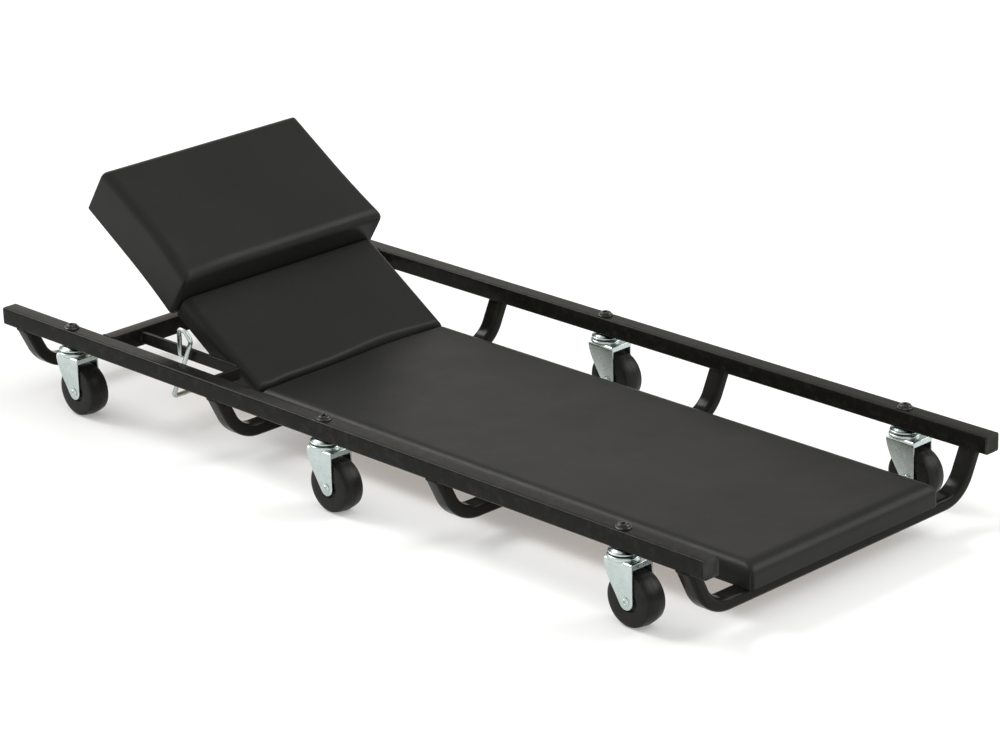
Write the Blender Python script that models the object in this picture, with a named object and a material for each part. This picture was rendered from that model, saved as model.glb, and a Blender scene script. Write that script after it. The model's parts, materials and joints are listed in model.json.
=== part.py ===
"""Mechanics creeper: two square side rails carried by six swivel casters, four bent cradle tubes
holding a padded board, and a hinged head section with a raised pillow and a wire bail.

Metres, +Z up. +X points to the foot end, the floor is z = 0, and the near side is -Y.
"""

import math

import bmesh
import bpy
from mathutils import Vector

# Overall size
LENGTH = 1.020
WIDTH = 0.416
GAP = 0.0003

# Side rails: square steel tube
RAIL_SIDE = 0.019
RAIL_WALL = 0.0015
RAIL_TOP = 0.0924
RAIL_BOTTOM = RAIL_TOP - RAIL_SIDE
RAIL_Y = (WIDTH - RAIL_SIDE) / 2
RAIL_INNER_FACE = RAIL_Y - RAIL_SIDE / 2
CAP_PLATE = 0.0018
CAP_PLUG = 0.010

# Cradle tubes: four bent cross tubes under the rails
CRADLE_X = (-0.480, -0.166, 0.157, 0.482)
CRADLE_ALONG = 0.020
CRADLE_THICK = 0.014
CRADLE_WALL = 0.0014
CRADLE_FLAT_TOP = 0.0354
CRADLE_LEG_LEAN = math.radians(26)
CRADLE_BEND = 0.037

# Casters
CASTER_X = (-0.402, -0.004, 0.402)
CASTER_PLACE = ("head", "middle", "foot")
WHEEL_RADIUS = 0.0274
WHEEL_WIDTH = 0.0244
TRAIL = 0.0145
AXLE_RADIUS = 0.0029
FORK_HALF_WIDTH = 0.0143
FORK_SHEET = 0.0017
STEM_RADIUS = 0.0039
CROWN_LOW = 0.0633

# Boards, pads and the head section
HINGE_X = -0.187
HINGE_Z = 0.0404
HEAD_ANGLE = math.radians(33)
BOARD_THICK = 0.009
BOARD_BOTTOM = 0.0374
BOARD_HALF_WIDTH = 0.1300
PAD_HALF_WIDTH = 0.1335
PAD_BOTTOM = 0.0357
PAD_TOP = 0.0604
PAD_FOOT_END = 0.4985
NECK_LENGTH = 0.1430
HEAD_LENGTH = 0.3040
PILLOW_TOP = 0.0940
PILLOW_HALF_WIDTH = 0.1360
PAD_EDGE = 0.0100
PAD_CORNER = 0.0080

# Head cross bar, prop bars and bail
CROSS_BAR_X = -0.3525
BAR_THICK = 0.004
BAR_TALL = 0.013
NEAR_BAR_Y = 0.151
FAR_BAR_Y = 0.1415
BAR_TOP = 0.0896
NEAR_BAR_FOOT_X = -0.184
FAR_BAR_FOOT_X = -0.2625
WIRE_RADIUS = 0.0025
BAIL_PIVOT_X = -0.2725
BAIL_PIVOT_Z = 0.0812
BAIL_SIDE_OUT = 0.0075

# Screws that hold the board to the cradle tubes
SCREW_Y = 0.090
SCREW_RADIUS = 0.0025


# ---------------------------------------------------------------- shared making tools


def clear_scene():
    for obj in list(bpy.data.objects):
        bpy.data.objects.remove(obj, do_unlink=True)


def material(name, color, roughness, metallic):
    """A plain Principled BSDF material."""
    made = bpy.data.materials.new(name)
    made.use_nodes = True
    shader = made.node_tree.nodes["Principled BSDF"]
    shader.inputs["Base Color"].default_value = (*color, 1.0)
    shader.inputs["Roughness"].default_value = roughness
    shader.inputs["Metallic"].default_value = metallic
    return made


def place(name, mesh, look, parent=None, location=(0, 0, 0), rotation=(0, 0, 0), sharp=35):
    """Puts a mesh in the scene as one named piece."""
    obj = bpy.data.objects.new(name, mesh)
    bpy.context.scene.collection.objects.link(obj)
    obj.location = location
    obj.rotation_euler = rotation
    obj.parent = parent
    if not mesh.materials:
        mesh.materials.append(look)
        for face in mesh.polygons:
            face.use_smooth = True
        mesh.set_sharp_from_angle(angle=math.radians(sharp))
    return obj


def pivot(name, location, rotation=(0, 0, 0)):
    """An empty that sits on a joint axis and carries the moving pieces."""
    empty = bpy.data.objects.new(name, None)
    bpy.context.scene.collection.objects.link(empty)
    empty.location = location
    empty.rotation_euler = rotation
    return empty


def mesh_of(bm, name):
    bmesh.ops.recalc_face_normals(bm, faces=bm.faces)
    mesh = bpy.data.meshes.new(name)
    bm.to_mesh(mesh)
    bm.free()
    return mesh


def loft(name, rings, closed_path=False):
    """Bridges a row of equal rings of points into a skin; open rows get a cap at each end."""
    bm = bmesh.new()
    rows = [[bm.verts.new(point) for point in ring] for ring in rings]
    count = len(rows[0])
    pairs = list(zip(rows, rows[1:]))
    if closed_path:
        pairs.append((rows[-1], rows[0]))
    for first, second in pairs:
        for i in range(count):
            j = (i + 1) % count
            bm.faces.new((first[i], first[j], second[j], second[i]))
    if not closed_path:
        bm.faces.new(list(reversed(rows[0])))
        bm.faces.new(rows[-1])
    return mesh_of(bm, name)


def extruded(name, outline, low, high, axis):
    """A flat outline made into a plate between two levels of the given axis."""

    def at(point, level):
        a, b = point
        return {"x": (level, a, b), "y": (a, level, b), "z": (a, b, level)}[axis]

    return loft(name, [[at(p, low) for p in outline], [at(p, high) for p in outline]])


def box(name, low, high):
    outline = [(low[0], low[1]), (high[0], low[1]), (high[0], high[1]), (low[0], high[1])]
    return extruded(name, outline, low[2], high[2], "z")


def turned(name, profile, segments, axis="z"):
    """A closed profile of (radius, height) points turned about the axis."""
    rings = []
    for k in range(segments):
        angle = 2 * math.pi * k / segments
        c = math.cos(angle)
        s = math.sin(angle)
        if axis == "z":
            rings.append([(r * c, r * s, h) for r, h in profile])
        else:
            rings.append([(r * c, h, r * s) for r, h in profile])
    return loft(name, rings, closed_path=True)


def stacked(name, profile, segments, axis="z"):
    """A solid of revolution from (radius, height) points, capped flat at both ends."""
    rings = []
    for radius, height in profile:
        ring = []
        for k in range(segments):
            a = radius * math.cos(2 * math.pi * k / segments)
            b = radius * math.sin(2 * math.pi * k / segments)
            ring.append((a, b, height) if axis == "z" else (a, height, b))
        rings.append(ring)
    return loft(name, rings)


def rod(name, radius, low, high, axis, centre=(0, 0), segments=16):
    """A plain cylinder along an axis; the centre is given in the other two axes."""
    outline = []
    for k in range(segments):
        angle = 2 * math.pi * k / segments
        outline.append((centre[0] + radius * math.cos(angle), centre[1] + radius * math.sin(angle)))
    return extruded(name, outline, low, high, axis)


def shaped(name, base, additions=(), cuts=()):
    """The base mesh with the additions joined to it and the cuts taken out of it."""
    bench = [bpy.data.objects.new(name + "_base", base)]
    bpy.context.scene.collection.objects.link(bench[0])
    for operation, tools in (("UNION", additions), ("DIFFERENCE", cuts)):
        for tool in tools:
            helper = bpy.data.objects.new(name + "_tool", tool)
            bpy.context.scene.collection.objects.link(helper)
            bench.append(helper)
            step = bench[0].modifiers.new(operation, "BOOLEAN")
            step.operation = operation
            step.solver = "EXACT"
            step.object = helper
    graph = bpy.context.evaluated_depsgraph_get()
    result = bpy.data.meshes.new_from_object(bench[0].evaluated_get(graph))
    result.name = name
    for obj in bench:
        bpy.data.objects.remove(obj, do_unlink=True)
    return result


def rounded_rectangle(half_a, half_b, radius, steps):
    """Points round a rectangle with rounded corners, centred on zero."""
    points = []
    for corner, (sa, sb) in enumerate(((1, 1), (-1, 1), (-1, -1), (1, -1))):
        for k in range(steps + 1):
            angle = math.pi / 2 * (corner + k / steps)
            a = sa * (half_a - radius) + radius * math.cos(angle)
            b = sb * (half_b - radius) + radius * math.sin(angle)
            points.append((a, b))
    return points


def filleted(points, radii, steps):
    """A polyline with its inner corners replaced by arcs of the given radii."""
    path = [Vector(points[0])]
    for before, corner, after, radius in zip(points, points[1:], points[2:], radii):
        corner = Vector(corner)
        back = (Vector(before) - corner).normalized()
        ahead = (Vector(after) - corner).normalized()
        half = back.angle(ahead) / 2
        reach = radius / math.tan(half)
        centre = corner + (back + ahead).normalized() * radius / math.sin(half)
        start = corner + back * reach - centre
        end = corner + ahead * reach - centre
        sweep = start.angle(end)
        for k in range(steps + 1):
            t = k / steps
            arm = start * math.sin((1 - t) * sweep) + end * math.sin(t * sweep)
            path.append(centre + arm / math.sin(sweep))
    path.append(Vector(points[-1]))
    return path


def swept(name, path, profile, side):
    """A profile carried along a path; side is the direction of the profile's first axis at the start."""
    rings = []
    across = Vector(side)
    for i, point in enumerate(path):
        before = path[max(i - 1, 0)]
        after = path[min(i + 1, len(path) - 1)]
        ahead = (after - before).normalized()
        across = (across - ahead * across.dot(ahead)).normalized()
        up = ahead.cross(across)
        rings.append([point + across * a + up * b for a, b in profile])
    return loft(name, rings)


# ---------------------------------------------------------------- frame


def make_rails(look):
    """Square tubes running the whole length, drilled top and bottom for the caster stems."""
    half = RAIL_SIDE / 2
    end = LENGTH / 2 - CAP_PLATE - GAP
    middle = RAIL_TOP - half
    for side, sign in (("near", -1), ("far", 1)):
        y = sign * RAIL_Y
        outline = rounded_rectangle(half, half, 0.0020, 3)
        bore = rounded_rectangle(half - RAIL_WALL, half - RAIL_WALL, 0.0008, 1)
        skin = extruded("rail_skin", [(a + y, b + middle) for a, b in outline], -end, end, "x")
        hollow = extruded("rail_bore", [(a + y, b + middle) for a, b in bore], -1, 1, "x")
        holes = [
            rod("rail_hole", STEM_RADIUS + 0.0004, RAIL_BOTTOM - 0.01, RAIL_TOP + 0.01, "z", (x, y))
            for x in CASTER_X
        ]
        place(f"side_rail_{side}", shaped(f"side_rail_{side}", skin, cuts=[hollow] + holes), look)


def make_rail_caps(look):
    """Plastic plugs that close the rail ends: a plate as large as the tube and a plug inside it."""
    half = RAIL_SIDE / 2
    plug = half - RAIL_WALL - GAP
    plate = extruded("cap_plate", rounded_rectangle(half, half, 0.0020, 3), 0, CAP_PLATE, "x")
    insert = extruded("cap_insert", rounded_rectangle(plug, plug, 0.0006, 1), -CAP_PLUG, 0.0005, "x")
    mesh = shaped("rail_cap", plate, additions=[insert])
    for side, sign in (("near", -1), ("far", 1)):
        for end, turn in (("foot", 0), ("head", math.pi)):
            x = (LENGTH / 2 - CAP_PLATE) * (1 if end == "foot" else -1)
            where = (x, sign * RAIL_Y, RAIL_TOP - half)
            place(f"rail_cap_{side}_{end}", mesh, look, location=where, rotation=(0, 0, turn))


def cradle_path():
    """The centre line of a cradle tube in the YZ plane: down one leaning leg, across, up the other."""
    middle = CRADLE_FLAT_TOP - CRADLE_THICK / 2
    top = RAIL_BOTTOM - GAP
    top_y = RAIL_Y + 0.0013
    knee_y = top_y - (top - middle) * math.tan(CRADLE_LEG_LEAN)
    corners = [(0, -top_y, top), (0, -knee_y, middle), (0, knee_y, middle), (0, top_y, top)]
    return filleted(corners, (CRADLE_BEND, CRADLE_BEND), 6)


def levelled(rings, level):
    """Slides each end ring along its leg until it lies flat against the rail's underside."""
    for ring, neighbour in ((rings[0], rings[1]), (rings[-1], rings[-2])):
        for i, point in enumerate(ring):
            leg = point - neighbour[i]
            ring[i] = point + leg * ((level - point.z) / leg.z)
    return rings


def cradle_skin(name, inset, overshoot):
    """One skin of a cradle tube, the given distance inside the outer surface."""
    steps = 1 if inset else 2
    half = (CRADLE_ALONG / 2 - inset, CRADLE_THICK / 2 - inset)
    profile = rounded_rectangle(*half, 0.0045 - inset, steps)
    path = cradle_path()
    rings = []
    for i, point in enumerate(path):
        before = path[max(i - 1, 0)]
        after = path[min(i + 1, len(path) - 1)]
        ahead = (after - before).normalized()
        up = ahead.cross(Vector((1, 0, 0)))
        rings.append([point + Vector((a, 0, 0)) + up * b for a, b in profile])
    return loft(name, levelled(rings, RAIL_BOTTOM - GAP + overshoot))


def make_cradles(look):
    """Flattened tubes bent to a wide U; their open ends are welded to the rails' undersides."""
    for place_name, x in zip(("head", "neck", "seat", "foot"), CRADLE_X):
        cuts = [cradle_skin("cradle_bore", CRADLE_WALL, 0.004)]
        if place_name != "head":
            for sign in (-1, 1):
                hole = rod("screw_hole", SCREW_RADIUS + 0.0004, 0.0, 0.05, "z", (0, sign * SCREW_Y), 8)
                cuts.append(hole)
        mesh = shaped(f"cradle_{place_name}", cradle_skin("cradle_skin", 0, 0), cuts=cuts)
        place(f"cradle_tube_{place_name}", mesh, look, location=(x, 0, 0))


def make_cross_bar(look):
    """The square tube that ties the two rails together under the head section."""
    half = RAIL_SIDE / 2
    reach = RAIL_INNER_FACE - GAP
    skin = extruded("bar_skin", rounded_rectangle(half, half, 0.0020, 3), -reach, reach, "y")
    inner = half - RAIL_WALL
    hollow = extruded("bar_bore", rounded_rectangle(inner, inner, 0.0008, 1), -1, 1, "y")
    where = (CROSS_BAR_X, 0, RAIL_TOP - half)
    place("head_cross_bar", shaped("head_cross_bar", skin, cuts=[hollow]), look, location=where)


def make_prop_bars(look):
    """Flat bars on edge from the cross bar. The near one is turned outwards to meet its rail; the far one is short."""
    start = CROSS_BAR_X + RAIL_SIDE / 2 + GAP
    reach = RAIL_INNER_FACE - GAP
    middle = BAR_TOP - BAR_TALL / 2
    near = [(start, -NEAR_BAR_Y, middle), (NEAR_BAR_FOOT_X, -NEAR_BAR_Y, middle), (NEAR_BAR_FOOT_X, -reach, middle)]
    far = [(start, FAR_BAR_Y, middle), (FAR_BAR_FOOT_X, FAR_BAR_Y, middle)]
    lines = {"near": filleted(near, (0.007,), 6), "far": [Vector(point) for point in far]}
    for side, line in lines.items():
        profile = rounded_rectangle(BAR_THICK / 2, BAR_TALL / 2, 0.0006, 1)
        strip = swept("prop_strip", line, profile, (0, 1, 0))
        hole = rod("pin_hole", WIRE_RADIUS + 0.0004, -1, 1, "y", (BAIL_PIVOT_X, BAIL_PIVOT_Z), 12)
        place(f"prop_bar_{side}", shaped(f"prop_bar_{side}", strip, cuts=[hole]), look)


# ---------------------------------------------------------------- casters


def stem_mesh():
    """Flanged bolt head on the rail, stem through the rail and a swaged collar under the fork."""
    top = RAIL_TOP + GAP
    head = [
        (0.0030, top + 0.0016),
        (0.0033, top + 0.0040),
        (0.0046, top + 0.0039),
        (0.0060, top + 0.0029),
        (0.0064, top + 0.0014),
        (0.0078, top + 0.0010),
        (0.0078, top),
        (STEM_RADIUS, top),
        (STEM_RADIUS, CROWN_LOW - 0.0004),
        (0.0070, CROWN_LOW - 0.0004),
        (0.0062, CROWN_LOW - 0.0028),
    ]
    return stacked("caster_stem", head, 12)


def race_mesh():
    """The fixed upper raceway, a shallow pressed dish against the rail's underside."""
    bore = STEM_RADIUS + 0.0004
    top = RAIL_BOTTOM - GAP
    profile = [
        (bore, top),
        (0.0105, top),
        (0.0150, top - 0.0022),
        (0.0150, top - 0.0038),
        (bore, top - 0.0038),
    ]
    return turned("caster_race", profile, 22)


def fork_mesh():
    """A pressed fork: round crown with the lower race, two tapering legs and a rear lip."""
    crown_high = CROWN_LOW + FORK_SHEET
    tip = 0.0084
    side = [(-0.0125, crown_high), (-0.0125, 0.0605), (-0.0068, 0.0450)]
    for k in range(7):
        angle = math.radians(206 + 154 * k / 6)
        side.append((TRAIL - 0.0002 + tip * math.cos(angle), WHEEL_RADIUS + tip * math.sin(angle)))
    side.append((TRAIL + tip - 0.0002, crown_high))
    blank = extruded("fork_blank", side, -FORK_HALF_WIDTH, FORK_HALF_WIDTH, "y")
    inside = FORK_HALF_WIDTH - FORK_SHEET
    crown = turned(
        "fork_crown",
        [
            (STEM_RADIUS + 0.0004, CROWN_LOW),
            (0.0152, CROWN_LOW),
            (0.0162, CROWN_LOW + 0.0030),
            (0.0150, CROWN_LOW + 0.0045),
            (0.0100, CROWN_LOW + 0.0055),
            (STEM_RADIUS + 0.0004, CROWN_LOW + 0.0055),
        ],
        20,
    )
    window = box("fork_window", (-0.05, -inside, 0.0), (TRAIL + tip - 0.0018, inside, CROWN_LOW))
    below = box("fork_below", (0.0, -inside, 0.0), (0.05, inside, CROWN_LOW - 0.0040))
    stem_hole = rod("stem_hole", STEM_RADIUS + 0.0004, 0.05, 0.08, "z", segments=12)
    axle_hole = rod("axle_hole", AXLE_RADIUS + 0.0003, -0.1, 0.1, "y", (TRAIL, WHEEL_RADIUS), 12)
    cuts = [window, below, stem_hole, axle_hole]
    return shaped("caster_fork", blank, additions=[crown], cuts=cuts)


def wheel_mesh():
    """A solid rubber wheel with rounded shoulders and a recessed hub, turned about the axle."""
    half = WHEEL_WIDTH / 2
    side = [(AXLE_RADIUS + 0.0004, 0.0119), (0.0064, 0.0119), (0.0066, 0.0088), (0.0102, 0.0088)]
    side.append((0.0108, half))
    for k in range(3):
        angle = math.pi / 2 * k / 2
        out = 0.0225 + (WHEEL_RADIUS - 0.0225) * math.sin(angle)
        side.append((out, half - 0.0045 * (1 - math.cos(angle))))
    profile = side + [(r, -h) for r, h in reversed(side)]
    return turned("caster_wheel", profile, 24, axis="y")


def axle_mesh():
    """A rivet through the fork legs with a domed head on each side."""
    leg = FORK_HALF_WIDTH + 0.0003
    side = [(0.0022, leg + 0.0017), (0.0042, leg + 0.0008), (0.0044, leg), (AXLE_RADIUS, leg)]
    return stacked("caster_axle", side + [(r, -h) for r, h in reversed(side)], 10, "y")


def make_casters(zinc, rubber, black, bright):
    """Six swivel casters; each has a pivot empty on its stem and one on its axle."""
    stem = stem_mesh()
    race = race_mesh()
    fork = fork_mesh()
    wheel = wheel_mesh()
    axle = axle_mesh()
    for side, sign in (("near", -1), ("far", 1)):
        for spot, x in zip(CASTER_PLACE, CASTER_X):
            tag = f"{side}_{spot}"
            where = (x, sign * RAIL_Y, 0)
            place(f"caster_stem_{tag}", stem, black, location=where)
            place(f"caster_race_{tag}", race, zinc, location=where)
            swivel = pivot(f"swivel_{tag}", where)
            place(f"caster_fork_{tag}", fork, zinc, parent=swivel, sharp=30)
            hub = (TRAIL, 0, WHEEL_RADIUS)
            place(f"caster_wheel_{tag}", wheel, rubber, parent=swivel, location=hub)
            place(f"caster_axle_{tag}", axle, bright, parent=swivel, location=hub)


# ---------------------------------------------------------------- boards and pads


def pad_mesh(name, low_x, high_x, half_y, bottom, top, crown, ceiling, pocket, slant):
    """A cushion wrapped round the edge of its board.

    Rounded rings climb the sides, roll over the edge and rise to a gentle crown. The pocket under
    it takes the board. slant(x, z) keeps an end clear of the mating pad."""
    middle = (low_x + high_x) / 2
    half_x = (high_x - low_x) / 2
    rings = []
    levels = [(0.0010, bottom), (0, bottom + 0.0010), (0, top - crown - PAD_EDGE)]
    for k in range(1, 6):
        angle = math.pi / 2 * k / 5
        inset = PAD_EDGE * (1 - math.cos(angle))
        levels.append((inset, top - crown - PAD_EDGE * (1 - math.sin(angle))))
    levels += [(0.024, top - crown * 0.45), (0.045, top)]
    for inset, z in levels:
        corner = max(PAD_CORNER - inset, 0.003)
        ring = rounded_rectangle(half_x - inset, half_y - inset, corner, 3)
        rings.append([(slant(a + middle, z), b, z) for a, b in ring])
    skin = loft(name + "_skin", rings)
    low, high = pocket
    reach = BOARD_HALF_WIDTH + GAP
    hollow = box(name + "_pocket", (low, -reach, bottom - 0.01), (high, reach, ceiling))
    return shaped(name, skin, cuts=[hollow])


def board_mesh(name, low_x, high_x, bottom, holes):
    """Plywood with rounded corners, with pilot holes for the screws from below."""
    half_x = (high_x - low_x) / 2
    outline = rounded_rectangle(half_x, BOARD_HALF_WIDTH, 0.008, 3)
    middle = (low_x + high_x) / 2
    plate = extruded(name, [(a + middle, b) for a, b in outline], bottom, bottom + BOARD_THICK, "z")
    cuts = [rod("pilot", SCREW_RADIUS + 0.0003, bottom - 0.01, bottom + 0.0075, "z", h, 8) for h in holes]
    return shaped(name, plate, cuts=cuts)


def make_main_section(wood, vinyl):
    """The fixed board and its long pad, lying on the flat runs of the cradle tubes."""
    mitre = math.tan(HEAD_ANGLE / 2)
    low_x = HINGE_X + 0.0040
    high_x = PAD_FOOT_END - (PAD_HALF_WIDTH - BOARD_HALF_WIDTH)
    holes = [(x, sign * SCREW_Y) for x in CRADLE_X[1:] for sign in (-1, 1)]
    place("main_board", board_mesh("main_board", low_x, high_x, BOARD_BOTTOM, holes), wood)

    def slant(x, z):
        return max(x, HINGE_X + 0.0006 + max(z - HINGE_Z, 0) * mitre)

    pad = pad_mesh(
        "main_pad",
        HINGE_X + 0.0006,
        PAD_FOOT_END,
        PAD_HALF_WIDTH,
        PAD_BOTTOM,
        PAD_TOP,
        0.0020,
        BOARD_BOTTOM + BOARD_THICK + GAP,
        (HINGE_X - 0.01, high_x + GAP),
        slant,
    )
    place("main_pad", pad, vinyl)


def make_head_section(wood, vinyl, head):
    """The hinged board with the thin neck pad and the thick pillow, built level about the hinge."""
    mitre = math.tan(HEAD_ANGLE / 2)
    bottom = PAD_BOTTOM - HINGE_Z
    board_low = BOARD_BOTTOM - HINGE_Z
    ceiling = board_low + BOARD_THICK + GAP
    end_x = -HEAD_LENGTH + (PAD_HALF_WIDTH - BOARD_HALF_WIDTH)
    board = board_mesh("head_board", end_x, -0.0040, board_low, [])
    place("head_board", board, wood, parent=head)

    def slant(x, z):
        return min(x, -0.0006 - max(z, 0) * mitre)

    neck = pad_mesh(
        "neck_pad",
        -NECK_LENGTH,
        -0.0006,
        PAD_HALF_WIDTH,
        bottom,
        PAD_TOP - HINGE_Z,
        0.0020,
        ceiling,
        (-NECK_LENGTH - 0.02, 0.02),
        slant,
    )
    place("neck_pad", neck, vinyl, parent=head)
    pillow = pad_mesh(
        "head_pillow",
        -HEAD_LENGTH,
        -NECK_LENGTH - GAP * 2,
        PILLOW_HALF_WIDTH,
        bottom,
        PILLOW_TOP - HINGE_Z,
        0.0030,
        ceiling,
        (end_x - GAP, -NECK_LENGTH + 0.02),
        lambda x, z: x,
    )
    place("head_pillow", pillow, vinyl, parent=head)


def make_screws(bright):
    """Pan-head screws through the cradle tubes into the main board."""
    low = CRADLE_FLAT_TOP - CRADLE_THICK
    profile = [
        (0.0034, low - 0.0030),
        (0.0050, low - 0.0014),
        (0.0050, low - GAP),
        (SCREW_RADIUS, low - GAP),
        (SCREW_RADIUS, BOARD_BOTTOM + 0.0060),
        (0.0010, BOARD_BOTTOM + 0.0070),
    ]
    mesh = stacked("board_screw", profile, 8)
    for spot, x in zip(("neck", "seat", "foot"), CRADLE_X[1:]):
        for side, sign in (("near", -1), ("far", 1)):
            place(f"board_screw_{side}_{spot}", mesh, bright, location=(x, sign * SCREW_Y, 0))


# ---------------------------------------------------------------- hinge


def leaf_mesh(name, sign, width, knuckles):
    """A hinge leaf under a board, with its share of the knuckles; built about the pin."""
    plate_low = -0.0046
    plate_high = -0.0033
    low, high = sorted((sign * 0.0042, sign * width))
    plate = box(name + "_plate", (low, -0.1150, plate_low), (high, 0.1150, plate_high))
    additions = []
    for start, end in knuckles:
        low, high = sorted((0.0, sign * 0.0050))
        additions.append(box(name + "_strap", (low, start, plate_low), (high, end, plate_high)))
        additions.append(rod(name + "_knuckle", 0.0036, start, end, "y", segments=16))
    bore = rod(name + "_bore", 0.0017, -1, 1, "y", segments=12)
    return shaped(name, plate, additions=additions, cuts=[bore])


def make_hinge(steel, head):
    """A long butt hinge: five knuckles in turn on a pin set in the gap between the boards."""
    step = 0.0460
    edges = [(-0.1150 + step * i + GAP / 2, -0.1150 + step * (i + 1) - GAP / 2) for i in range(5)]
    where = (HINGE_X, 0, HINGE_Z)
    place("hinge_leaf_main", leaf_mesh("hinge_leaf_main", 1, 0.0150, edges[0::2]), steel, location=where)
    place("hinge_leaf_head", leaf_mesh("hinge_leaf_head", -1, 0.0240, edges[1::2]), steel, parent=head)
    place("hinge_pin", rod("hinge_pin", 0.0014, -0.1165, 0.1165, "y", segments=12), steel, location=where)


# ---------------------------------------------------------------- bail


def make_bail(bright):
    """One bent wire, built about its pivot: pins in the prop bars, a near hooked top, legs and a cross run."""
    near_pin = BAR_THICK / 2 + 0.0012 - NEAR_BAR_Y
    near_side = -NEAR_BAR_Y - BAIL_SIDE_OUT
    far_pin = FAR_BAR_Y - BAR_THICK / 2 - 0.0012
    far_side = FAR_BAR_Y + BAIL_SIDE_OUT
    points = [
        (0, near_pin, 0),
        (0, near_side, 0),
        (0, near_side, 0.0310),
        (0.0100, near_side, 0.0290),
        (0.0190, near_side, 0.0205),
        (-0.0160, near_side, -0.0490),
        (-0.0160, far_side, -0.0490),
        (0, far_side, 0),
        (0, far_pin, 0),
    ]
    radii = (0.0036, 0.0045, 0.0050, 0.0070, 0.0050, 0.0050, 0.0036)
    path = filleted(points, radii, 4)
    profile = [(WIRE_RADIUS * math.cos(math.pi * k / 4), WIRE_RADIUS * math.sin(math.pi * k / 4)) for k in range(8)]
    mesh = swept("bail_wire", path, profile, (1, 0, 0))
    swing = pivot("bail_pivot", (BAIL_PIVOT_X, 0, BAIL_PIVOT_Z))
    place("bail_wire", mesh, bright, parent=swing, sharp=60)


# ---------------------------------------------------------------- build


clear_scene()
powder = material("black_powder_coat", (0.022, 0.022, 0.021), 0.38, 0.0)
plug = material("black_plastic", (0.018, 0.018, 0.018), 0.5, 0.0)
zinc = material("bright_zinc", (0.74, 0.78, 0.78), 0.25, 1.0)
bolt = material("black_oxide_steel", (0.03, 0.03, 0.03), 0.35, 1.0)
rubber = material("black_rubber", (0.02, 0.02, 0.02), 0.45, 0.0)
vinyl = material("black_vinyl", (0.03, 0.03, 0.03), 0.5, 0.0)
wood = material("plywood", (0.55, 0.40, 0.25), 0.7, 0.0)
steel = material("hinge_steel", (0.60, 0.61, 0.62), 0.3, 1.0)

make_rails(powder)
make_rail_caps(plug)
make_cradles(powder)
make_cross_bar(powder)
make_prop_bars(powder)
make_casters(zinc, rubber, bolt, zinc)
head_pivot = pivot("head_pivot", (HINGE_X, 0, HINGE_Z), (0, HEAD_ANGLE, 0))
make_main_section(wood, vinyl)
make_head_section(wood, vinyl, head_pivot)
make_screws(zinc)
make_hinge(steel, head_pivot)
make_bail(zinc)
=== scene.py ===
import json
import math

import bmesh
import bpy
import numpy as np
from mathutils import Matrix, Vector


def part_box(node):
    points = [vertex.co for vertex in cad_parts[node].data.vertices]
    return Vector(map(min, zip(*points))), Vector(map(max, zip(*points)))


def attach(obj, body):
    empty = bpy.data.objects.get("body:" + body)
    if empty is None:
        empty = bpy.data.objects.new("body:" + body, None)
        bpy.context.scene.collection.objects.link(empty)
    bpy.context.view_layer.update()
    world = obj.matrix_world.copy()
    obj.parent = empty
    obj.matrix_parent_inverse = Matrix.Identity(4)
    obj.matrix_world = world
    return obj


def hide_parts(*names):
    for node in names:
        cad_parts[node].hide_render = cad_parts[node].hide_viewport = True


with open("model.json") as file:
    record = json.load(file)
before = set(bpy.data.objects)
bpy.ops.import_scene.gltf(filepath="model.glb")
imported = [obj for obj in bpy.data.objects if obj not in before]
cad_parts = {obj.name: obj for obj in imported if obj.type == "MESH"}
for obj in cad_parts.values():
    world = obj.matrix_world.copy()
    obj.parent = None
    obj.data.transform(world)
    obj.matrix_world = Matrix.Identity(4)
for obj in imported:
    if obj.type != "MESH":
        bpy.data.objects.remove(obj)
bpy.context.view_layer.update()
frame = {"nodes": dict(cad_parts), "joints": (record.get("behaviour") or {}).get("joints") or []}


# ------------------------------------------------------------------------------------ side rails
# Two lengths of 19 mm square steel tube, drilled top and bottom for the caster bolts. They are welded up
# with the cradle tubes and bars, then powder coated satin black; the coat has a faint orange peel and goes
# shiny and thin on its corners.

TUBE_CORNER = 0.0022
TUBE_WALL = 0.0015
BOLT_HOLE = 0.0043
WELD_GAP = 0.0003
SIDES = {"near": -1, "far": 1}
SPOTS = ("head", "middle", "foot")


def finish(name, colour, roughness, metallic=0.0, **sockets):
    """A Principled finish; sockets names more of the shader's own settings, with _ for a space."""
    look = bpy.data.materials.new(name)
    look.use_nodes = True
    inputs = look.node_tree.nodes["Principled BSDF"].inputs
    inputs["Base Color"].default_value = (*colour, 1)
    inputs["Roughness"].default_value = roughness
    inputs["Metallic"].default_value = metallic
    for socket, value in sockets.items():
        inputs[socket.replace("_", " ")].default_value = value
    return look


def node(look, kind, links=(), **sockets):
    """A new node of a finish with its settings; links names its inputs that other nodes feed."""
    made = look.node_tree.nodes.new("ShaderNode" + kind)
    for socket, value in sockets.items():
        made.inputs[socket.replace("_", " ")].default_value = value
    for socket, source in dict(links).items():
        look.node_tree.links.new(source, made.inputs[socket])
    return made


def pattern(look, kind, scale, stretch=(1, 1, 1), centre=(0, 0, 0), turn=(0, 0, 0), **sockets):
    """A texture on the piece's own coordinates, scale cells to the metre, stretched per axis."""
    where = node(look, "TexCoord").outputs["Object"]
    laid = node(look, "Mapping", {"Vector": where}, Scale=stretch, Location=centre, Rotation=turn)
    made = node(look, "Tex" + kind, {"Vector": laid.outputs[0]}, Scale=scale, **sockets)
    return made.outputs.get("Fac") or made.outputs["Distance"]


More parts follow.
